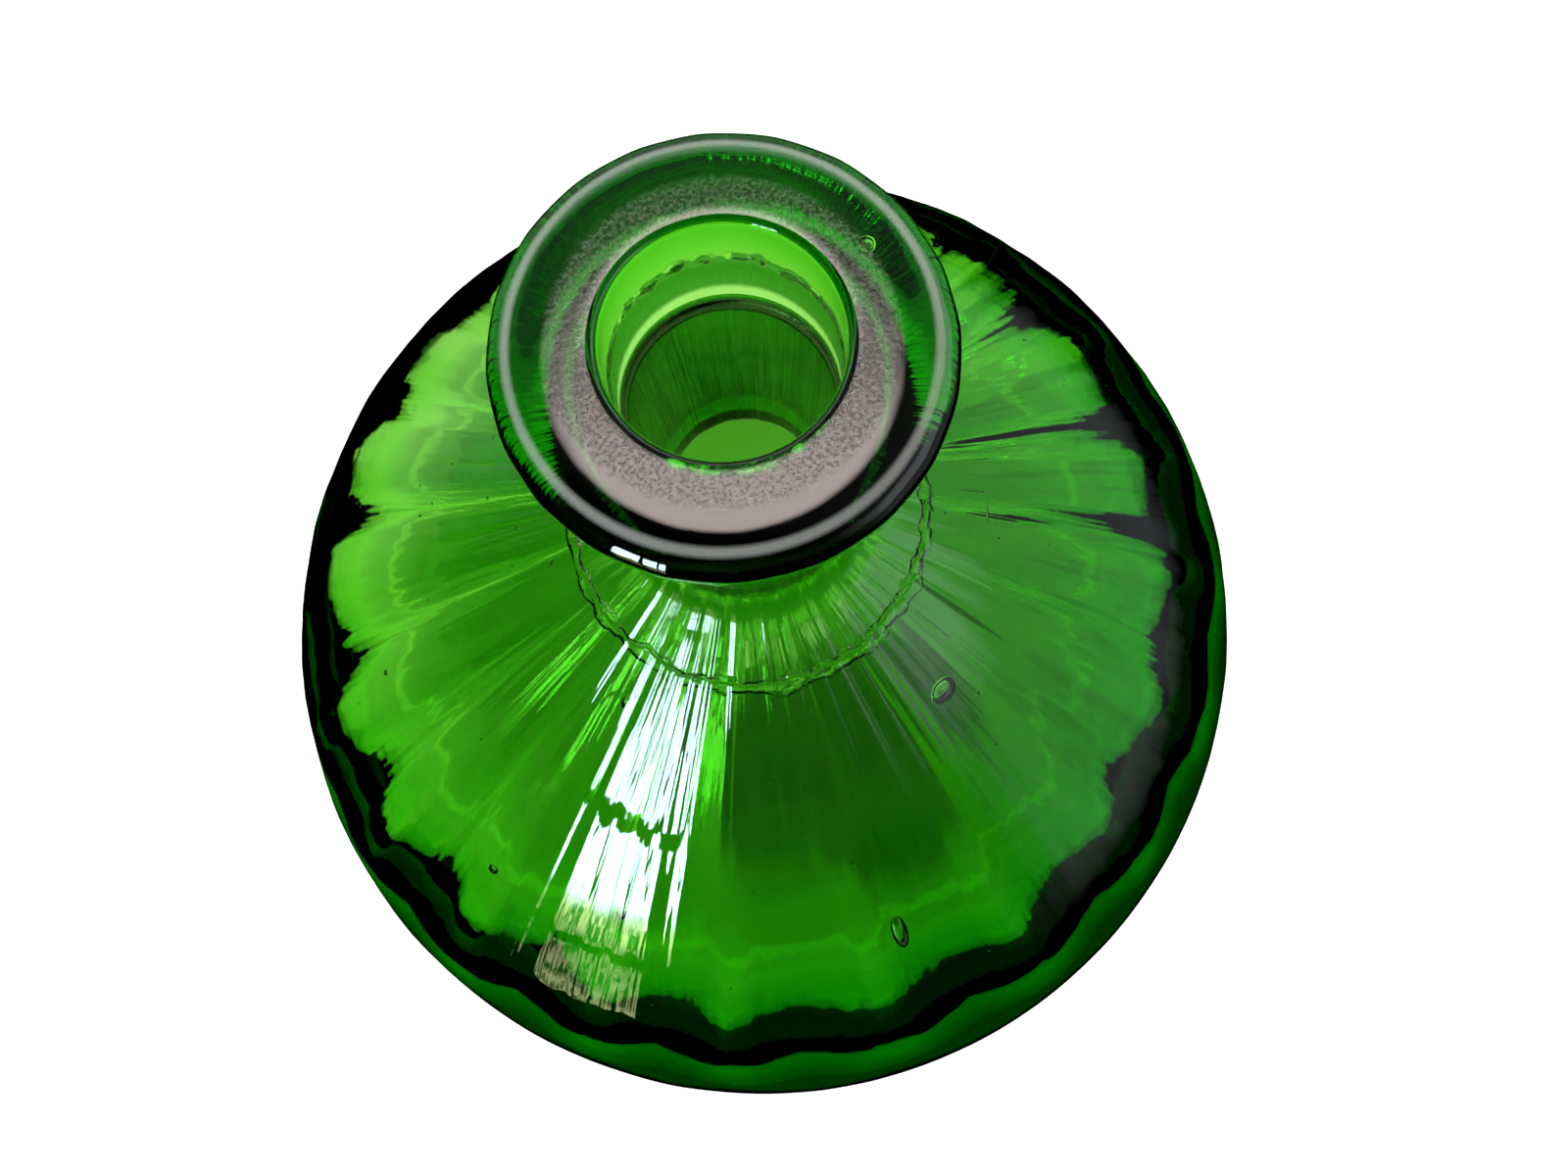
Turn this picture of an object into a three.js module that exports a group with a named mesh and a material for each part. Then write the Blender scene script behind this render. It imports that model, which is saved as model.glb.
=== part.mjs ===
import * as THREE from 'three';

// Optic-ribbed glass flask: a blown body and the lip ring applied to the end of its neck.
// Millimetres, +Z up, origin at the centre of the resting plane.

// Overall
const overallHeight = 126;
const bodyRadius = 75; // at the widest circle, where the outside is plain
const widestHeight = 16;

// Foot: a narrow flat bearing ring round a pushed-up centre
const bearingRadius = 52;
const bearingWidth = 4;
const kickHeight = 5;

// Neck and the tight concave root that joins it to the shoulder
const neckRadius = 12.2;
const neckLength = 23.5;
const rootFlare = 3.3;
const rootDrop = 6.5;
const shoulderSlope = 37 * Math.PI / 180; // nearly straight, then it rounds over into the side

// Applied lip ring
const lipRadius = 17.4;
const lipHeight = 13;
const lipRoundWidth = 3.4;
const lipRoundHeight = 2.4;
const lipUndercut = 0.6; // how far the ring's lower edge stands proud of the neck
const mouthRounding = 0.8;

// Bore, slightly tapered, with a small ledge where the ring meets the neck
const mouthBoreRadius = 9;
const boreLedge = 0.25;
const throatRadius = 7.8;
const throatRise = 4.5; // from the root up to the end of the bore

// Glass thickness: even over the shoulder, heavier at the heel and the foot
const wall = 3.2;
const heelWall = 6.2;
const baseWall = 6;
const cornerWidth = 8.5; // rounding where the cavity's side meets its floor
const cornerHeight = 12;

// Optic ribs: clear inside, fainter on the outside of the shoulder, none on the outermost circle
const ribCount = 20;
const innerRibDepth = 0.8;
const outerRibDepth = 0.35;
const outerRibRise = 25; // height above the widest circle at which the outside ribs are full
const facetsPerRib = 4;

const neckTop = overallHeight - lipHeight;
const neckRoot = neckTop - neckLength;
const rootRadius = neckRadius + rootFlare;
const rootHeight = neckRoot - rootDrop;
const segments = ribCount * facetsPerRib;

const point = (r, z) => new THREE.Vector2(r, z);
const along = (from, angle, length) => point(
  from.x + length * Math.cos(angle),
  from.y + length * Math.sin(angle),
);

// Points of a cubic curve from a to d, without its first point
function curve(a, b, c, d, steps) {
  return new THREE.CubicBezierCurve(a, b, c, d).getPoints(steps).slice(1);
}

// Quarter round from a to d whose corner is at c, without its first point
function round(a, c, d, steps) {
  const pull = 0.5523;
  return curve(a, a.clone().lerp(c, pull), d.clone().lerp(c, pull), d, steps);
}

// A profile spun about Z. inset gives how far a row lies inside its own radius, from the rib
// wave, which is 1 on a crest and 0 in a valley
function spin(profile, inset = () => 0) {
  const geometry = new THREE.LatheGeometry(profile, segments);
  const position = geometry.attributes.position;
  for (let turn = 0; turn <= segments; turn++) {
    const wave = (1 + Math.cos(ribCount * turn / segments * 2 * Math.PI)) / 2;
    for (let row = 0; row < profile.length; row++) {
      const index = turn * profile.length + row;
      const radius = profile[row].x;
      const scale = radius > 0 ? 1 - inset(row, wave) / radius : 1;
      position.setX(index, position.getX(index) * scale);
      position.setZ(index, position.getZ(index) * scale);
    }
  }
  geometry.rotateX(Math.PI / 2);
  geometry.computeVertexNormals();
  return geometry;
}

function glass(name, geometry, tint) {
  const material = new THREE.MeshStandardMaterial({
    color: tint,
    roughness: 0.05,
    transparent: true,
    opacity: 0.6,
  });
  const mesh = new THREE.Mesh(geometry, material);
  mesh.name = name;
  return mesh;
}

// Outer skin of the body, from the axis under the kick to the top of the neck
const kick = point(0, kickHeight);
const ringInner = point(bearingRadius - bearingWidth / 2, 0);
const ringOuter = point(bearingRadius + bearingWidth / 2, 0);
const widest = point(bodyRadius, widestHeight);
const root = point(rootRadius, rootHeight);
const neckFoot = point(neckRadius, neckRoot);
const shoulderRise = rootHeight - widestHeight;
const shoulderRun = bodyRadius - rootRadius;

const underside = [
  kick,
  ...curve(
    kick,
    point(ringInner.x * 0.45, kickHeight),
    point(ringInner.x * 0.8, kickHeight * 0.08),
    ringInner,
    5,
  ),
];
const heel = [ringOuter, ...round(ringOuter, point(bodyRadius, 0), widest, 5)];
const shoulder = [
  ...curve(
    widest,
    point(bodyRadius, widestHeight + shoulderRise * 0.25),
    along(root, -shoulderSlope, shoulderRun * 0.84),
    root,
    9,
  ),
  ...curve(
    root,
    along(root, Math.PI - shoulderSlope, rootFlare * 0.65),
    point(neckRadius, neckRoot - rootDrop * 0.5),
    neckFoot,
    4,
  ),
];

// Inner skin, from the ledge at the top of the neck down to the axis
const ledgeRadius = mouthBoreRadius - boreLedge;
const innerRoot = along(root, -shoulderSlope - Math.PI / 2, wall);
const innerWidest = point(bodyRadius - heelWall, baseWall + cornerHeight);
const throat = point(throatRadius, rootHeight + throatRise);
const innerFloor = point(innerWidest.x - cornerWidth, baseWall);
const innerKick = point(0, kickHeight + baseWall);

const cavity = [
  point(ledgeRadius, neckTop),
  throat,
  ...curve(
    throat,
    point(throatRadius, throat.y - throatRise * 0.7),
    along(innerRoot, Math.PI - shoulderSlope, rootFlare),
    innerRoot,
    4,
  ),
  ...curve(
    innerRoot,
    along(innerRoot, -shoulderSlope, shoulderRun * 0.77),
    point(innerWidest.x, innerWidest.y + shoulderRise * 0.21),
    innerWidest,
    8,
  ),
  ...round(innerWidest, point(innerWidest.x, baseWall), innerFloor, 4),
  ...curve(
    innerFloor,
    point(innerFloor.x * 0.75, baseWall),
    point(innerFloor.x * 0.45, innerKick.y),
    innerKick,
    5,
  ),
];

const bodyProfile = [
  ...underside,
  ...heel,
  ...shoulder,
  point(neckRadius, neckTop),
  ...cavity,
];

// The ribs die out towards the neck and the foot; outside, they also die out at the widest circle
const firstInnerRow = bodyProfile.length - cavity.length;
const ribInset = (row, wave) => {
  const { x: radius, y: height } = bodyProfile[row];
  const ribbedRadius = rootRadius * 2;
  if (row >= firstInnerRow) {
    const inside = THREE.MathUtils.smoothstep(radius, mouthBoreRadius, ribbedRadius);
    return innerRibDepth * inside * wave;
  }
  const fromNeck = THREE.MathUtils.smoothstep(radius, neckRadius, ribbedRadius);
  const overWidest = THREE.MathUtils.smoothstep(height, widestHeight, widestHeight + outerRibRise);
  return outerRibDepth * fromNeck * overWidest * (1 - wave);
};

// Lip ring: flared under the rim, flat on top, with a rounded mouth
const lipFoot = point(neckRadius + lipUndercut, neckTop);
const lipWidest = point(lipRadius, overallHeight - lipRoundHeight);
const lipTopOuter = point(lipRadius - lipRoundWidth, overallHeight);
const lipTopInner = point(mouthBoreRadius + mouthRounding, overallHeight);
const mouthEdge = point(mouthBoreRadius, overallHeight - mouthRounding);

const lipProfile = [
  point(mouthBoreRadius, neckTop),
  lipFoot,
  ...curve(
    lipFoot,
    point(lipFoot.x + lipUndercut, neckTop + lipHeight * 0.35),
    point(lipRadius, lipWidest.y - lipHeight * 0.38),
    lipWidest,
    6,
  ),
  ...round(lipWidest, point(lipRadius, overallHeight), lipTopOuter, 5),
  lipTopInner,
  ...round(lipTopInner, point(mouthBoreRadius, overallHeight), mouthEdge, 3),
  point(mouthBoreRadius, neckTop),
];

const flask = new THREE.Group();
flask.name = 'ribbed_flask';
flask.add(glass('blown_body', spin(bodyProfile, ribInset), 0x2f9e22));
flask.add(glass('applied_lip', spin(lipProfile), 0x27801f));

export default flask;
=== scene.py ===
import math
import random

import bmesh
import bpy
from mathutils import Matrix, Vector, noise
from mathutils.geometry import interpolate_bezier


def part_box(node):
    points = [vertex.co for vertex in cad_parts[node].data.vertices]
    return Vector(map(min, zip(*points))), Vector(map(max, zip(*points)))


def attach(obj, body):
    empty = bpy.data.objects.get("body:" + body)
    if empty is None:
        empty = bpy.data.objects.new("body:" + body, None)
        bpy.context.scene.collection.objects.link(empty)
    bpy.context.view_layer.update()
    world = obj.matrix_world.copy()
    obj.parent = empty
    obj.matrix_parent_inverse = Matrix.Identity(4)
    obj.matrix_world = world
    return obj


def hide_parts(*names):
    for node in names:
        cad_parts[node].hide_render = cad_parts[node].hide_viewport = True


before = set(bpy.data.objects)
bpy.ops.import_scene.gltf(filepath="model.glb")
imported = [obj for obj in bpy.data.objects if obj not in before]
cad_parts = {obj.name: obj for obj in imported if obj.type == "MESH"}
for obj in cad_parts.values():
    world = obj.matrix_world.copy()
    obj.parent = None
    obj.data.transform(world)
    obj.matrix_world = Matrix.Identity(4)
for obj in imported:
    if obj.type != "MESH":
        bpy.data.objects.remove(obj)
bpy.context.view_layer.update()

MM = 0.001
scene = bpy.context.scene

# ------------------------------------------------------------ sizes, from the design, in mm

_, body_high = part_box("blown_body")
_, lip_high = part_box("applied_lip")
BODY_R = body_high[0] / MM
NECK_TOP = body_high[2] / MM
TOP = lip_high[2] / MM
LIP_R = lip_high[0] / MM

WIDEST_Z = 16.0
RING_R, RING_WIDTH = 52.0, 4.0
KICK, BASE_WALL = 5.0, 6.0
NECK_R, NECK_ROOT_Z = 12.2, 89.5
ROOT_R, ROOT_Z = 15.5, 83.0
SLOPE = math.radians(37)
WALL, HEEL_WALL = 3.2, 6.2
CORNER_WIDTH, CORNER_HEIGHT = 8.5, 12.0
MOUTH_R, LEDGE, THROAT_R, THROAT_Z = 9.0, 0.25, 7.8, 87.5
LIP_ROUND_WIDTH, LIP_ROUND_HEIGHT, MOUTH_ROUND = 4.4, 2.4, 0.8  # polished 1 mm wider than designed
RIBS = 20

# What blowing and tooling leave: rib depths, draw lines, an off-centre cavity, a ragged seam, a ring
# from the jacks and a worn line on the lip
INNER_RIB, OUTER_RIB = 0.8, 0.35
HEEL_GAIN = 2.4  # how much deeper, as a share, the inner ribs get where the heel is thickest
DRAW_OUTSIDE, DRAW_INSIDE = 0.20, 0.22
CAVITY_SHIFT, CAVITY_WAY = 3.4, math.radians(118)
SEAM_Z, SEAM_DEPTH, SEAM_WIDTH = 120.4, 0.5, 0.5
JACK_RING_R = 19.4
WORN_R = 15.6
TURN_STEPS = RIBS * 20


# ------------------------------------------------------------ camera

def make_camera():
    """A 26 mm view from just off the axis, close over the mouth, turned about the line of sight."""
    distance = 2.512 * BODY_R * MM
    tilt, pan, pitch, roll = (math.radians(a) for a in (10.24, -1.156, -0.90, -8.9))
    eye = Vector((0, -distance * math.sin(tilt), distance * math.cos(tilt)))
    ahead = -eye.normalized()
    side = Vector((1, 0, 0))
    axes = Matrix((side, side.cross(ahead), ahead))
    aim = Matrix.Rotation(-roll, 3, "Z") @ Matrix.Rotation(-pitch, 3, "X") @ Matrix.Rotation(pan, 3, "Y")
    axes = aim @ axes
    data = bpy.data.cameras.new("camera")
    data.sensor_width, data.lens, data.clip_start = 36, 26, 0.005
    camera = bpy.data.objects.new("camera", data)
    scene.collection.objects.link(camera)
    turn = Matrix((axes[0], axes[1], -axes[2])).transposed()
    camera.matrix_world = Matrix.Translation(eye + Vector((0, 0, WIDEST_Z * MM))) @ turn.to_4x4()
    scene.camera = camera


make_camera()


# ------------------------------------------------------------ nodes and colours

def srgb(hex_code):
    """A linear colour from an sRGB hex code."""
    channels = [int(hex_code[i:i + 2], 16) / 255 for i in (1, 3, 5)]
    return [c / 12.92 if c <= 0.04045 else ((c + 0.055) / 1.055) ** 2.4 for c in channels] + [1]


def add(tree, kind, settings=None, **links):
    """A node of that kind. settings sets its properties; links sets or links its inputs by name."""
    node = tree.nodes.new(kind)
    for key, value in (settings or {}).items():
        setattr(node, key, value)
    for key, value in links.items():
        name = key.replace("_", " ")
        socket = node.inputs[int(name[3:])] if name.startswith("in ") else node.inputs[name]
        if isinstance(value, bpy.types.NodeSocket):
            tree.links.new(value, socket)
        else:
            socket.default_value = value
    return node


# ------------------------------------------------------------ glass shape

def bend(a, b, c, d, steps):
    """Points of a cubic curve from a to d, without its first point."""
    points = interpolate_bezier(*(Vector((p[0], 0, p[1])) for p in (a, b, c, d)), steps + 1)
    return [(p.x, p.z) for p in points[1:]]


def quarter(a, corner, d, steps):
    """Quarter round from a to d inside that corner, without its first point."""
    pull = 0.5523
    b = tuple(a[i] + (corner[i] - a[i]) * pull for i in (0, 1))
    c = tuple(d[i] + (corner[i] - d[i]) * pull for i in (0, 1))
    return bend(a, b, c, d, steps)


def line(a, d, steps):
    """Points of a straight stretch from a to d, without its first point."""
    return [tuple(a[i] + (d[i] - a[i]) * n / steps for i in (0, 1)) for n in range(1, steps + 1)]


def along(start, angle, length):
    return start[0] + length * math.cos(angle), start[1] + length * math.sin(angle)


def step(edge0, edge1, x):
    """0 at edge0 and 1 at edge1, smooth between."""
    t = min(max((x - edge0) / (edge1 - edge0), 0), 1)
    return t * t * (3 - 2 * t)


def outer_skin():
    """Rows from the axis under the kick, up the outside, to the rounded mouth."""
    rise, run = ROOT_Z - WIDEST_Z, BODY_R - ROOT_R
    kick, root, neck_foot = (0, KICK), (ROOT_R, ROOT_Z), (NECK_R, NECK_ROOT_Z)
    ring_in, ring_out = (RING_R - RING_WIDTH / 2, 0), (RING_R + RING_WIDTH / 2, 0)
    widest = (BODY_R, WIDEST_Z)
    rows = [kick]
    rows += bend(kick, (ring_in[0] * 0.45, KICK), (ring_in[0] * 0.8, 0.4), ring_in, 14)
    rows += line(ring_in, ring_out, 2)
    rows += quarter(ring_out, (BODY_R, 0), widest, 14)
    rows += bend(widest, (BODY_R, WIDEST_Z + rise * 0.25), along(root, -SLOPE, run * 0.84), root, 36)
    rows += bend(root, along(root, math.pi - SLOPE, 2.15), (NECK_R, NECK_ROOT_Z - 3.25), neck_foot, 10)
    rows += line(neck_foot, (NECK_R, NECK_TOP - 0.3), 8)
    lip_foot = (NECK_R + 0.6, NECK_TOP + 0.5)
    lip_widest, lip_flat = (LIP_R, TOP - LIP_ROUND_HEIGHT), (LIP_R - LIP_ROUND_WIDTH, TOP)
    rows += [(NECK_R + 0.15, NECK_TOP), lip_foot]
    rows += bend(lip_foot, (lip_foot[0] + 0.6, NECK_TOP + 4.6), (LIP_R, lip_widest[1] - 5), lip_widest, 12)
    rows += quarter(lip_widest, (LIP_R, TOP), lip_flat, 12)
    mouth_outer, mouth_edge = (MOUTH_R + MOUTH_ROUND, TOP), (MOUTH_R, TOP - MOUTH_ROUND)
    rows += line(lip_flat, mouth_outer, 5)
    rows += quarter(mouth_outer, (MOUTH_R, TOP), mouth_edge, 5)
    return rows


def inner_skin():
    """Rows from just under the mouth, down the bore and the cavity, to the axis."""
    rise, run = ROOT_Z - WIDEST_Z, BODY_R - ROOT_R
    ledge, throat = (MOUTH_R - LEDGE, NECK_TOP), (THROAT_R, THROAT_Z)
    root = along((ROOT_R, ROOT_Z), -SLOPE - math.pi / 2, WALL)
    widest = (BODY_R - HEEL_WALL, BASE_WALL + CORNER_HEIGHT)
    floor, crown = (widest[0] - CORNER_WIDTH, BASE_WALL), (0, KICK + BASE_WALL)
    mouth_edge = (MOUTH_R, TOP - MOUTH_ROUND)
    rows = line(mouth_edge, (MOUTH_R, SEAM_Z - 2.5), 20)
    rows += line(rows[-1], (MOUTH_R, NECK_TOP + 0.4), 5)
    rows += [(MOUTH_R - 0.1, NECK_TOP + 0.1), ledge]
    rows += line(ledge, throat, 18)
    rows += bend(throat, (THROAT_R, THROAT_Z - 3.15), along(root, math.pi - SLOPE, 3.3), root, 10)
    rows += bend(root, along(root, -SLOPE, run * 0.77), (widest[0], widest[1] + rise * 0.21), widest, 34)
    rows += quarter(widest, (widest[0], BASE_WALL), floor, 12)
    rows += bend(floor, (floor[0] * 0.75, BASE_WALL), (floor[0] * 0.45, crown[1]), crown, 14)
    return rows


def rib_wave(angle, height):
    """1 on the crest of a rib and 0 in a valley. The ribs are a little uneven and lean slightly."""
    lean = 0.0006 * (height - WIDEST_Z)
    wander = 0.021 * math.sin(3 * angle + 1.0) + 0.012 * math.sin(7 * angle)
    return 1 - abs(math.sin(RIBS * (angle + lean + wander) / 2)) ** 1.5


def ragged_seam(angle, height):
    """The chilled edge where the ring of the lip was closed inside the bore: a torn groove."""
    drift = 0.7 * noise.noise(Vector((math.cos(angle) * 2.5, math.sin(angle) * 2.5, 3)))
    tear = 0.45 * noise.noise(Vector((math.cos(angle) * 16, math.sin(angle) * 16, height * 0.8)))
    off = (height - SEAM_Z - drift - tear) / SEAM_WIDTH
    patchy = 0.6 + 0.6 * noise.noise(Vector((math.cos(angle) * 5, math.sin(angle) * 5, 7)))
    return SEAM_DEPTH * patchy * math.exp(-off * off)


def shape_glass(x, y, z, skin):
    """Where a point of the plain turned glass ends up on the blown and tooled flask."""
    radius, angle = math.hypot(x, y), math.atan2(y, x)
    if radius < 1e-6:
        return x, y, z
    spread = 1 + 0.25 * math.sin(2 * angle + 0.6) + 0.12 * math.sin(5 * angle)
    drawn = noise.noise(Vector((math.cos(angle) * 9, math.sin(angle) * 9, z * 0.02 + 20 * skin)))
    fine = noise.noise(Vector((math.cos(angle) * 24, math.sin(angle) * 24, z * 0.03 + 40 * skin)))
    slow = noise.noise(Vector((x * 0.05, y * 0.05, z * 0.05 + 9 * skin)))
    if skin:
        ribbed = step(MOUTH_R, ROOT_R * 2, radius)
        thick = (1 - math.cos(angle - CAVITY_WAY)) / 2
        deeper = 1 + HEEL_GAIN * thick * step(44, 16, z) * step(30, 60, radius)
        change = -INNER_RIB * spread * deeper * ribbed * rib_wave(angle, z)
        wall = step(BASE_WALL, 20, z) * step(6, 12, radius) * step(NECK_TOP, 84, z)
        change += DRAW_INSIDE * (drawn + 0.45 * fine) * wall
        change += 0.15 * slow * step(20, 30, radius)
        if z > NECK_TOP + 1:
            change += ragged_seam(angle, z)
        shift = CAVITY_SHIFT * step(80, 45, z)
    else:
        ribbed = step(NECK_R, ROOT_R * 2, radius) * step(WIDEST_Z, WIDEST_Z + 25, z)
        change = -OUTER_RIB * spread * ribbed * (1 - rib_wave(angle, z))
        shoulder = step(WIDEST_Z, 40, z) * step(NECK_TOP, 90, z)
        change += DRAW_OUTSIDE * (drawn + 1.1 * fine - 1.05) * shoulder
        shift = 0
    scale = (radius + change) / radius
    return x * scale + shift * math.cos(CAVITY_WAY), y * scale + shift * math.sin(CAVITY_WAY), z


def new_piece(name, mesh):
    """The bmesh as an object of that name, smooth shaded, at the origin."""
    for face in mesh.faces:
        face.smooth = True
    data = bpy.data.meshes.new(name)
    mesh.to_mesh(data)
    mesh.free()
    piece = bpy.data.objects.new(name, data)
    scene.collection.objects.link(piece)
    return piece


def make_flask():
    """Body and lip as one skin, because the lip is fused to the neck: its outline spun, then shaped."""
    mesh = bmesh.new()
    skin_layer = mesh.verts.layers.int.new("skin")
    rows = []
    for skin, outline in enumerate((outer_skin(), inner_skin())):
        for radius, height in outline:
            vertex = mesh.verts.new((radius, 0, height))
            vertex[skin_layer] = skin
            rows.append(vertex)
    edges = [mesh.edges.new(pair) for pair in zip(rows, rows[1:])]
    bmesh.ops.spin(
        mesh, geom=rows + edges, cent=(0, 0, 0), axis=(0, 0, 1), dvec=(0, 0, 0),
        angle=math.tau, steps=TURN_STEPS, use_merge=True, use_normal_flip=False, use_duplicate=False,
    )
    bmesh.ops.remove_doubles(mesh, verts=mesh.verts, dist=1e-4)
    for vertex in mesh.verts:
        vertex.co = Vector(shape_glass(*vertex.co, vertex[skin_layer])) * MM
    bmesh.ops.recalc_face_normals(mesh, faces=mesh.faces)
    return new_piece("flask", mesh)


# ------------------------------------------------------------ what the glass holds

def outside_height(radius):
    """The height of the shoulder's outside at that radius."""
    rows = [row for row in outer_skin() if WIDEST_Z <= row[1] <= ROOT_Z]
    for low, high in zip(rows, rows[1:]):
        if high[0] <= radius <= low[0]:
            share = (low[0] - radius) / (low[0] - high[0])
            return low[1] + (high[1] - low[1]) * share
    return ROOT_Z


def in_wall(azimuth, radius, depth=0.5):
    """A point in the shoulder's wall. depth is 0 at the outside and 1 at the inside."""
    inward = WALL * depth
    height = outside_height(radius) - inward / math.cos(SLOPE)
    return Matrix.Rotation(math.radians(azimuth), 4, "Z") @ Matrix.Translation((radius, 0, height))


def add_seed(mesh, place, size, detail=2):
    """A closed drop of those half sizes: along the meridian, across it and through the wall."""
    lay = Matrix.Rotation(SLOPE, 4, "Y")
    shape = place @ lay @ Matrix.Diagonal((*size, 1))
    bmesh.ops.create_icosphere(mesh, subdivisions=detail, radius=1, matrix=shape)


def make_seeds():
    """Gas seeds and blisters caught in the glass: a few large ones, then many fine ones."""
    mesh = bmesh.new()
    blisters = (
        (-50, 29.1, (1.5, 1.8, 1.25)),
        (-132, 24.8, (0.9, 0.7, 0.5)),
        (-119, 48.2, (0.9, 0.65, 0.5)),
        (-139, 52.3, (0.75, 0.7, 0.5)),
        (-172, 51.0, (0.4, 0.4, 0.35)),
        (-78, 50.9, (3.0, 1.0, 0.4)),
        (-1, 25.6, (2.4, 0.16, 0.16)),
        (-6, 27.4, (0.16, 1.3, 0.16)),
    )
    for azimuth, radius, size in blisters:
        add_seed(mesh, in_wall(azimuth, radius), size, 3)
    lip_places = ((27, 12.9, 1.6, 0.7), (107, 10.4, 0.9, 0.32))
    for azimuth, radius, under, size in lip_places:
        turn = Matrix.Rotation(math.radians(azimuth), 4, "Z")
        bmesh.ops.create_icosphere(
            mesh, subdivisions=3, radius=size, matrix=turn @ Matrix.Translation((radius, 0, TOP - under)),
        )
    chance = random.Random(7)
    for _ in range(90):
        azimuth, radius = chance.uniform(0, 360), chance.uniform(20, 60)
        size = chance.uniform(0.07, 0.2)
        depth = chance.uniform(0.3, 0.7)
        add_seed(mesh, in_wall(azimuth, radius, depth), (size * chance.uniform(1, 2.2), size, size))
    bmesh.ops.scale(mesh, vec=(MM, MM, MM), verts=mesh.verts)
    return new_piece("gas_seeds", mesh)


def make_stone():
    """A grain of unmelted batch beside one blister."""
    mesh = bmesh.new()
    place = in_wall(-130.5, 24.2, 0.25)
    bmesh.ops.create_icosphere(mesh, subdivisions=2, radius=0.45, matrix=place)
    middle = place.translation
    for vertex in mesh.verts:
        vertex.co += (vertex.co - middle) * 0.5 * noise.noise(vertex.co * 3)
    bmesh.ops.scale(mesh, vec=(MM, MM, MM), verts=mesh.verts)
    return new_piece("stone", mesh)


# ------------------------------------------------------------ materials

FROSTED_ROUGHNESS = 0.32  # of the ground flat and, in part, the worn line
HAZY_ROUGHNESS = 0.2
WORN_CLEAR = 0.62  # how much light the worn line lets through where it is fully dulled


def new_material(name):
    material = bpy.data.materials.new(name)
    material.use_nodes = True
    material.node_tree.nodes.clear()
    return material, material.node_tree


def smooth_range(tree, value, low, high, to_low=0.0, to_high=1.0):
    return add(
        tree, "ShaderNodeMapRange", {"interpolation_type": "SMOOTHSTEP"},
        Value=value, From_Min=low, From_Max=high, To_Min=to_low, To_Max=to_high,
    ).outputs[0]


def times(tree, *values):
    """The product of all the values."""
    product = values[0]
    for value in values[1:]:
        product = add(tree, "ShaderNodeMath", {"operation": "MULTIPLY"}, in_0=product, in_1=value).outputs[0]
    return product


def apart(tree, value, middle):
    """How far the value is from the middle, either way."""
    off = add(tree, "ShaderNodeMath", {"operation": "SUBTRACT"}, in_0=value, in_1=middle).outputs[0]
    return add(tree, "ShaderNodeMath", {"operation": "ABSOLUTE"}, in_0=off).outputs[0]


def ragged(tree, value, place, scale, reach, detail=3):
    """The value, torn by noise of that scale by up to the reach each way."""
    torn = add(tree, "ShaderNodeTexNoise", Vector=place, Scale=scale, Detail=detail).outputs["Fac"]
    torn = add(tree, "ShaderNodeMapRange", Value=torn, To_Min=-reach, To_Max=reach).outputs[0]
    return add(tree, "ShaderNodeMath", {"operation": "ADD"}, in_0=value, in_1=torn).outputs[0]


def drawn_out(tree, place, way, across, down):
    """Pattern coordinates that change fast round the axis and slowly down the glass."""
    across = add(tree, "ShaderNodeVectorMath", {"operation": "SCALE"}, in_0=way, Scale=across).outputs[0]
    down = add(tree, "ShaderNodeVectorMath", {"operation": "SCALE"}, in_0=place, Scale=down).outputs[0]
    return add(tree, "ShaderNodeVectorMath", {"operation": "ADD"}, in_0=across, in_1=down).outputs[0]


def ground_flat(tree, radius, height):
    """1 on the ground flat round the mouth, fading into the polished lip."""
    outside_mouth = smooth_range(tree, radius, (MOUTH_R + 0.3) * MM, (MOUTH_R + 1.2) * MM)
    inside_rim = smooth_range(tree, radius, (LIP_R - 3.9) * MM, (LIP_R - 5.3) * MM)
    on_top = smooth_range(tree, height, (TOP - 0.5) * MM, (TOP - 0.1) * MM)
    return times(tree, outside_mouth, inside_rim, on_top)


def worn_line(tree, radius, height):
    """The thin line round the lip where handling has dulled the polish."""
    on_line = smooth_range(tree, apart(tree, radius, WORN_R * MM), 0.55 * MM, 0.1 * MM)
    on_top = smooth_range(tree, height, (TOP - 3) * MM, (TOP - 2) * MM)
    return times(tree, on_line, on_top, 0.75)


def root_haze(tree, place, way, radius, height):
    """Hairline scuffs that run down from the root of the neck."""
    hair_place = drawn_out(tree, place, way, 110, 60)
    hair = add(tree, "ShaderNodeTexNoise", Vector=hair_place, Scale=1, Detail=2).outputs["Fac"]
    hair = smooth_range(tree, hair, 0.60, 0.68)
    near_neck = smooth_range(tree, radius, 28 * MM, 20 * MM)
    on_root = smooth_range(tree, height, 68 * MM, 72 * MM)
    under_neck = smooth_range(tree, height, 96 * MM, 88 * MM)
    return times(tree, hair, near_neck, on_root, under_neck)


def draw_lines(tree, place, way, radius, height):
    """The height of the draw lines, which are strongest near the neck."""
    line_place = drawn_out(tree, place, way, 34, 22)
    lines = add(tree, "ShaderNodeTexNoise", Vector=line_place, Scale=1, Detail=1, Roughness=0.5)
    lines = lines.outputs["Fac"]
    near_neck = smooth_range(tree, radius, 50 * MM, 14 * MM, 0.5, 1.0)
    above_heel = smooth_range(tree, height, 22 * MM, 45 * MM)
    below_lip = smooth_range(tree, height, (TOP - 2) * MM, (TOP - 8) * MM)
    return times(tree, lines, near_neck, above_heel, below_lip)


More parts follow.
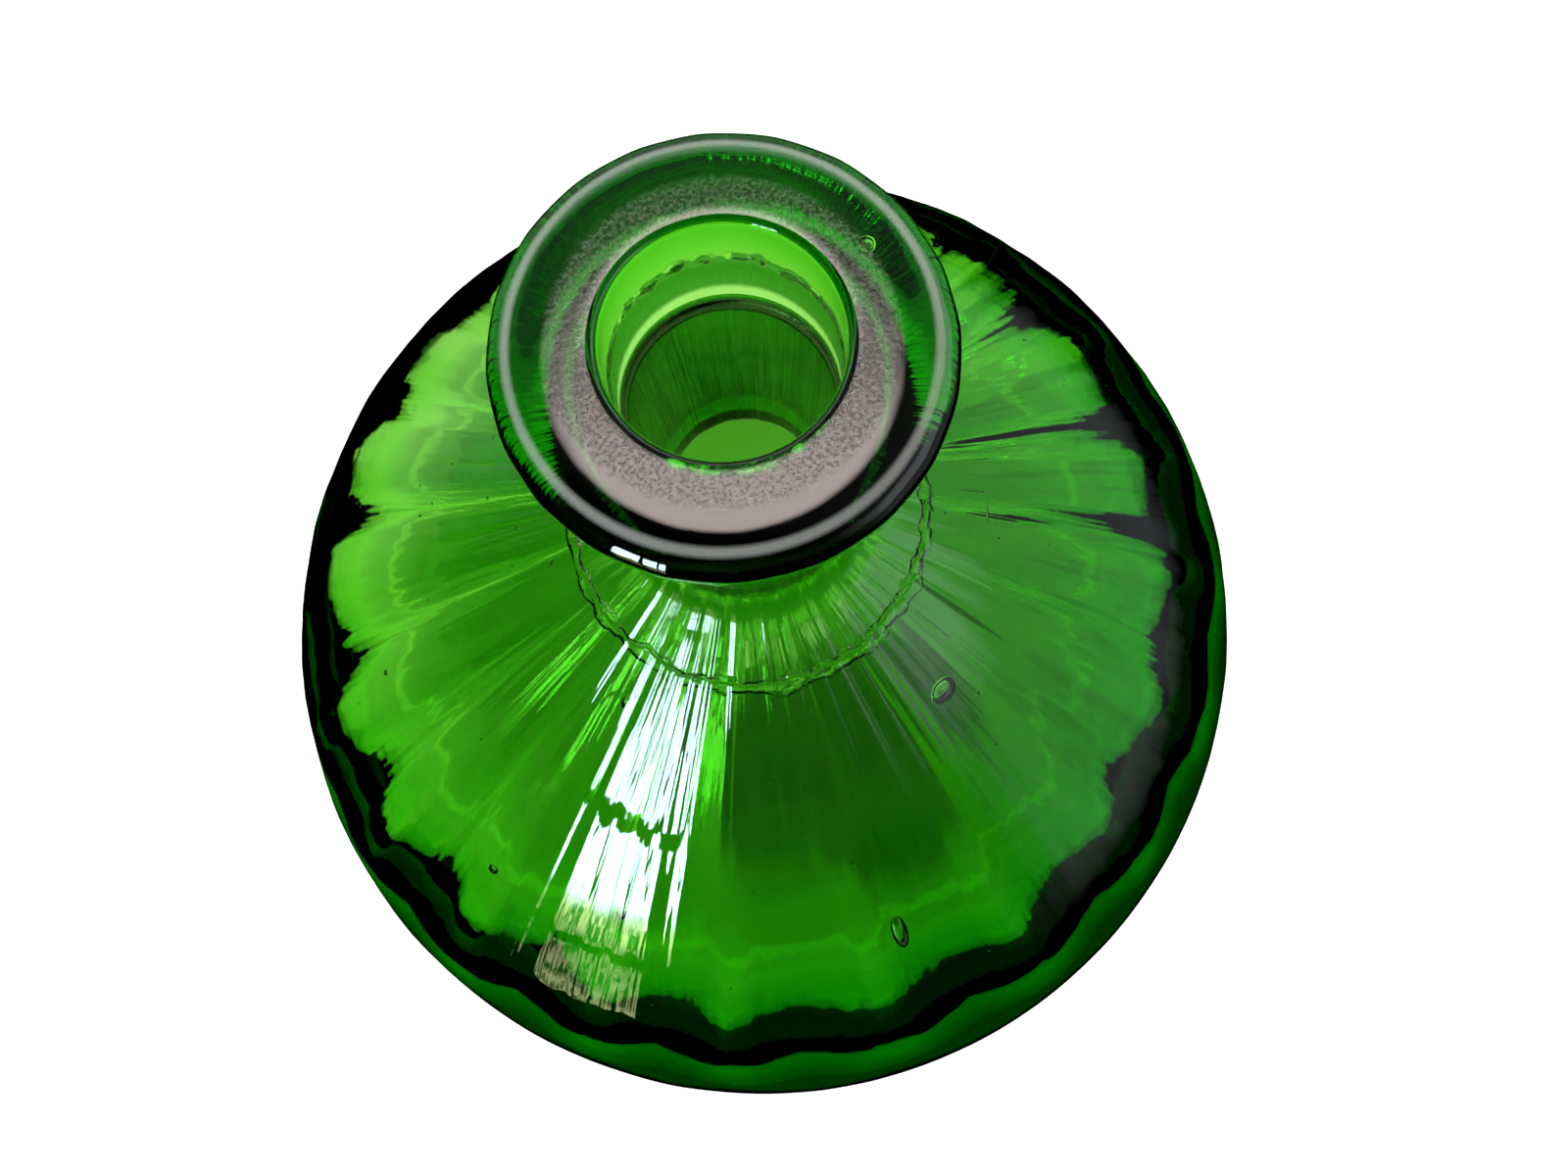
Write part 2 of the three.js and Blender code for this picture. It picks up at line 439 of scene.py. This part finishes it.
def jack_ring(tree, place, radius, height):
    """The thin uneven ring that the jacks pressed round the root."""
    off = apart(tree, ragged(tree, radius, place, 420, 1.1 * MM), JACK_RING_R * MM)
    on_ring = smooth_range(tree, off, 0.45 * MM, 0)
    return times(tree, on_ring, smooth_range(tree, height, 74 * MM, 78 * MM))


def bore_painted_shade(tree, place, radius, height):
    """1 on the band of painted shade in the bore, from the torn seam down to just over the ledge."""
    in_bore = smooth_range(tree, radius, (MOUTH_R + 0.6) * MM, (MOUTH_R + 0.3) * MM)
    level = ragged(tree, height, place, 900, 1.6 * MM)
    under_seam = smooth_range(tree, level, (SEAM_Z + 0.3) * MM, SEAM_Z * MM)
    over_ledge = smooth_range(tree, height, (NECK_TOP + 2.2) * MM, (NECK_TOP + 3.2) * MM)
    return times(tree, in_bore, under_seam, over_ledge)


def green_glass():
    """Green soda-lime glass, blown over optic ribs and fire polished, index 1.52.

    Depth gives the colour. The skin keeps a faint orange-peel ripple and draw lines that run from
    the neck down, hairline scuffs and a thin ring round the root. The mouth was ground flat, the
    lip is worn along one line, and shade is painted into the bore's colour between the seam and the ledge.
    """
    material, tree = new_material("green soda-lime glass")
    place = add(tree, "ShaderNodeTexCoord").outputs["Object"]
    axes = add(tree, "ShaderNodeSeparateXYZ", Vector=place).outputs
    height = axes["Z"]
    flat = add(tree, "ShaderNodeCombineXYZ", X=axes["X"], Y=axes["Y"]).outputs[0]
    radius = add(tree, "ShaderNodeVectorMath", {"operation": "LENGTH"}, in_0=flat).outputs["Value"]
    way = add(tree, "ShaderNodeVectorMath", {"operation": "NORMALIZE"}, in_0=flat).outputs[0]

    ground = ground_flat(tree, radius, height)
    worn = worn_line(tree, radius, height)
    mottle = add(tree, "ShaderNodeTexNoise", Vector=place, Scale=3000, Detail=3, Roughness=0.6).outputs["Fac"]
    mottle = smooth_range(tree, mottle, 0.38, 0.62, 0.35, 1.0)
    frosted = add(tree, "ShaderNodeMath", {"operation": "MAXIMUM"}, in_0=ground, in_1=worn).outputs[0]
    frosted = times(tree, frosted, mottle, FROSTED_ROUGHNESS)
    hazy = times(tree, root_haze(tree, place, way, radius, height), HAZY_ROUGHNESS)
    rough = add(tree, "ShaderNodeMath", {"operation": "MAXIMUM"}, in_0=frosted, in_1=hazy).outputs[0]

    ripple = add(tree, "ShaderNodeTexNoise", Vector=place, Scale=120, Detail=2).outputs["Fac"]
    grit = add(tree, "ShaderNodeTexNoise", Vector=place, Scale=2400, Detail=2).outputs["Fac"]
    reliefs = (
        (ripple, 0.05),
        (draw_lines(tree, place, way, radius, height), 0.13),
        (jack_ring(tree, place, radius, height), 0.35),
        (times(tree, grit, ground), 0.012),
    )
    skin = {}
    for relief, depth in reliefs:
        bump = add(tree, "ShaderNodeBump", Height=relief, Distance=depth * MM, Strength=1, **skin)
        skin = {"Normal": bump.outputs[0]}

    # Painted shade in the bore: the glass's colour turns dark green between the seam and the ledge.
    bore_shade = bore_painted_shade(tree, place, radius, height)
    unshaded_tint, painted_shade_tint = srgb("#f6fbf4"), srgb("#2c6a28")
    tone = add(tree, "ShaderNodeMix", {"data_type": "RGBA"}, in_0=bore_shade, in_6=unshaded_tint, in_7=painted_shade_tint)
    clear = add(tree, "ShaderNodeMapRange", Value=worn, To_Min=1.0, To_Max=WORN_CLEAR).outputs[0]
    shader = add(
        tree, "ShaderNodeBsdfPrincipled", Base_Color=tone.outputs[2], Roughness=rough, IOR=1.52,
        Transmission_Weight=clear, **skin,
    )
    body = add(tree, "ShaderNodeVolumeAbsorption", Color=(0.46, 0.85, 0.11, 1), Density=560)
    add(tree, "ShaderNodeOutputMaterial", Surface=shader.outputs[0], Volume=body.outputs[0])
    return material


def seed_glass():
    """A gas seed as seen from inside the glass: its index is about that of air over glass, 1 / 1.52."""
    material, tree = new_material("gas seed in glass")
    place = add(tree, "ShaderNodeTexCoord").outputs["Object"]
    ripple = add(tree, "ShaderNodeTexNoise", Vector=place, Scale=900, Detail=2).outputs["Fac"]
    green, white = srgb("#e6f7dc"), srgb("#ffffff")
    tone = add(tree, "ShaderNodeMix", {"data_type": "RGBA"}, in_0=ripple, in_6=green, in_7=white)
    normal = add(tree, "ShaderNodeBump", Height=ripple, Distance=0.00003, Strength=1).outputs[0]
    shader = add(
        tree, "ShaderNodeBsdfPrincipled", Base_Color=tone.outputs[2], Roughness=0.0, IOR=0.66,
        Transmission_Weight=1.0, Normal=normal,
    )
    add(tree, "ShaderNodeOutputMaterial", Surface=shader.outputs[0])
    return material


def batch_stone():
    """Unmelted batch: chalky white with rust where the iron gathered."""
    material, tree = new_material("unmelted batch stone")
    place = add(tree, "ShaderNodeTexCoord").outputs["Object"]
    patches = add(tree, "ShaderNodeTexNoise", Vector=place, Scale=1600, Detail=3).outputs["Fac"]
    rust = smooth_range(tree, patches, 0.42, 0.56)
    chalk, iron = srgb("#f3e6d6"), srgb("#c4581f")
    tone = add(tree, "ShaderNodeMix", {"data_type": "RGBA"}, in_0=rust, in_6=chalk, in_7=iron)
    normal = add(tree, "ShaderNodeBump", Height=patches, Distance=0.00005, Strength=1).outputs[0]
    shader = add(tree, "ShaderNodeBsdfPrincipled", Base_Color=tone.outputs[2], Roughness=0.7, Normal=normal)
    add(tree, "ShaderNodeOutputMaterial", Surface=shader.outputs[0])
    return material


# ------------------------------------------------------------ floor, window and room

FLOOR_DROP = 0.0003  # so that the floor and the foot's flat face don't coincide
# The floor's glow carries painted light: FLOOR_SHADED is a painted shadow under the flask, LIP_SHADE a
# painted shadow of the lip, and the glow dims with distance and on the side away from FLOOR_BRIGHT_WAY.
FLOOR_LIT, FLOOR_SHADED, FLOOR_FAR = 0.80, 0.55, 0.10
FLOOR_BRIGHT_WAY = (-0.42, 0.906, 0.0)
LIP_SHADE = ((0.010, -0.026), 0.027, 0.28)  # where the lip shades the floor, its radius, how much is left


def plain_floor():
    mesh = bmesh.new()
    bmesh.ops.create_grid(mesh, x_segments=1, y_segments=1, size=0.9)
    bmesh.ops.translate(mesh, verts=mesh.verts, vec=(0, 0, -FLOOR_DROP))
    floor = new_piece("floor", mesh)
    material, tree = new_material("pale matt table")
    place = add(tree, "ShaderNodeTexCoord").outputs["Object"]
    away = add(tree, "ShaderNodeVectorMath", {"operation": "LENGTH"}, in_0=place).outputs["Value"]
    glow = smooth_range(tree, away, 0.055, 0.085, FLOOR_SHADED, FLOOR_LIT)
    # Painted falloff: the glow dims with distance, down to FLOOR_FAR on the side away from FLOOR_BRIGHT_WAY.
    way = add(tree, "ShaderNodeVectorMath", {"operation": "NORMALIZE"}, in_0=place).outputs[0]
    facing = add(tree, "ShaderNodeVectorMath", {"operation": "DOT_PRODUCT"}, in_0=way, in_1=FLOOR_BRIGHT_WAY)
    far = smooth_range(tree, facing.outputs["Value"], -0.3, 0.3, FLOOR_FAR, 1.0)
    painted_falloff = smooth_range(tree, away, 0.2, 0.5, 1.0, far)
    # Painted shadow of the lip on the floor's glow.
    centre, reach, left = LIP_SHADE
    off = add(tree, "ShaderNodeVectorMath", {"operation": "DISTANCE"}, in_0=place, in_1=(*centre, 0))
    off = ragged(tree, off.outputs["Value"], place, 38, 12 * MM, detail=2)
    shade = smooth_range(tree, off, reach * 0.72, reach * 1.08, left, 1.0)
    shader = add(
        tree, "ShaderNodeBsdfPrincipled", Base_Color=srgb("#f2f0f2"), Roughness=0.8,
        Emission_Color=srgb("#fbf8fb"), Emission_Strength=times(tree, glow, painted_falloff, shade),
    )
    add(tree, "ShaderNodeOutputMaterial", Surface=shader.outputs[0])
    floor.data.materials.append(material)
    floor.visible_glossy = False


WINDOW_SKY, WINDOW_GARDEN = 30.0, 4.0


def sky_bar(tree, place, middle, half):
    """0 on a window bar at that place and 1 beside it."""
    return smooth_range(tree, apart(tree, place, middle), half, half * 1.5)


def window():
    """A tall window to the front left: bars, sky in the upper part and a garden below."""
    azimuth, far = math.radians(-129), 0.55
    low, high, wide = -0.16, 0.27, 0.17
    mesh = bmesh.new()
    bmesh.ops.create_grid(mesh, x_segments=1, y_segments=1, size=0.5, calc_uvs=False)
    map_layer = mesh.loops.layers.uv.new("panes")
    for face in mesh.faces:
        for loop in face.loops:
            loop[map_layer].uv = loop.vert.co.xy + Vector((0.5, 0.5))
    stand = Matrix.Rotation(azimuth, 4, "Z") @ Matrix.Translation((far, 0, (low + high) / 2))
    stand = stand @ Matrix.Rotation(math.pi / 2, 4, "Z") @ Matrix.Rotation(math.pi / 2, 4, "X")
    bmesh.ops.transform(mesh, matrix=stand @ Matrix.Diagonal((wide, high - low, 1, 1)), verts=mesh.verts)
    pane = new_piece("window", mesh)
    material, tree = new_material("window view")
    uv = add(tree, "ShaderNodeUVMap", {"uv_map": "panes"}).outputs[0]
    axes = add(tree, "ShaderNodeSeparateXYZ", Vector=uv).outputs
    sky = smooth_range(tree, axes["Y"], 0.40, 0.48)
    leaves = add(tree, "ShaderNodeTexNoise", Vector=uv, Scale=9, Detail=4, Roughness=0.7).outputs["Fac"]
    leaves = smooth_range(tree, leaves, 0.4, 0.6)
    shady, sunny = srgb("#2c5a24"), srgb("#d9e6a0")
    garden = add(tree, "ShaderNodeMix", {"data_type": "RGBA"}, in_0=leaves, in_6=shady, in_7=sunny).outputs[2]
    view = add(tree, "ShaderNodeMix", {"data_type": "RGBA"}, in_0=sky, in_6=garden, in_7=srgb("#d6f4ff"))
    open_glass = [sky_bar(tree, axes["X"], middle, 0.022) for middle in (0.0, 0.36, 0.70, 1.0)]
    open_glass += [sky_bar(tree, axes["Y"], middle, 0.014) for middle in (0.0, 0.30, 0.66, 1.0)]
    level = smooth_range(tree, axes["Y"], 0.30, 0.52, WINDOW_GARDEN, WINDOW_SKY)
    glow = add(tree, "ShaderNodeEmission", Color=view.outputs[2], Strength=times(tree, level, *open_glass))
    add(tree, "ShaderNodeOutputMaterial", Surface=glow.outputs[0])
    pane.data.materials.append(material)
    pane.visible_camera = False
    pane.visible_shadow = False


BRIGHT_SIDE = (0.64, 0.77, 0.0)
CEILING_WAY = (-0.02, 0.19, 0.98)
CEILING_LEVEL = 9.0
# brightness of the room by the height of the direction, from straight down to straight up
ROOM_LEVELS = (
    (0.0, 0.0), (0.30, 0.0), (0.36, 0.20), (0.56, 0.22),
    (0.60, 1.0), (0.72, 1.0), (0.78, 0.12), (1.0, 0.05),
)
ROOM_SCALE = 1.5


def light_room():
    """Bright walls behind and to the right, a dark side towards the viewer, a panel overhead."""
    world = bpy.data.worlds.new("room")
    scene.world = world
    world.use_nodes = True
    tree = world.node_tree
    tree.nodes.clear()
    way = add(tree, "ShaderNodeTexCoord").outputs["Generated"]
    facing = add(tree, "ShaderNodeVectorMath", {"operation": "DOT_PRODUCT"}, in_0=way, in_1=BRIGHT_SIDE)
    lobe = smooth_range(tree, facing.outputs["Value"], -0.35, 0.10, 0.02, 1.0)
    height = add(tree, "ShaderNodeSeparateXYZ", Vector=way).outputs["Z"]
    height = add(tree, "ShaderNodeMapRange", Value=height, From_Min=-1, From_Max=1).outputs[0]
    bands = add(tree, "ShaderNodeValToRGB", Fac=height)
    ramp = bands.color_ramp
    while len(ramp.elements) < len(ROOM_LEVELS):
        ramp.elements.new(0.5)
    for element, (place, level) in zip(ramp.elements, ROOM_LEVELS):
        element.position = place
        element.color = (level, level, level, 1)
    walls = times(tree, bands.outputs["Color"], lobe, ROOM_SCALE)
    above = add(tree, "ShaderNodeVectorMath", {"operation": "DOT_PRODUCT"}, in_0=way, in_1=CEILING_WAY)
    panel = smooth_range(tree, above.outputs["Value"], 0.95, 0.985, 0.0, CEILING_LEVEL)
    walls = add(tree, "ShaderNodeBackground", Color=srgb("#f4f7ff"), Strength=walls)
    panel = add(tree, "ShaderNodeBackground", Color=srgb("#ffeee8"), Strength=panel)
    both = add(tree, "ShaderNodeAddShader", in_0=walls.outputs[0], in_1=panel.outputs[0])
    add(tree, "ShaderNodeOutputWorld", Surface=both.outputs[0])


# ------------------------------------------------------------ the flask in its place

flask = make_flask()
flask.data.materials.append(green_glass())
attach(flask, "root")
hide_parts("blown_body", "applied_lip")

seeds = make_seeds()
seeds.data.materials.append(seed_glass())
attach(seeds, "root")

stone = make_stone()
stone.data.materials.append(batch_stone())
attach(stone, "root")

plain_floor()
window()
light_room()

scene.view_settings.view_transform = "Standard"
cycles = scene.cycles
cycles.max_bounces, cycles.transmission_bounces, cycles.glossy_bounces, cycles.diffuse_bounces = 24, 24, 8, 3
cycles.use_denoising = True
cycles.sample_clamp_indirect = 10
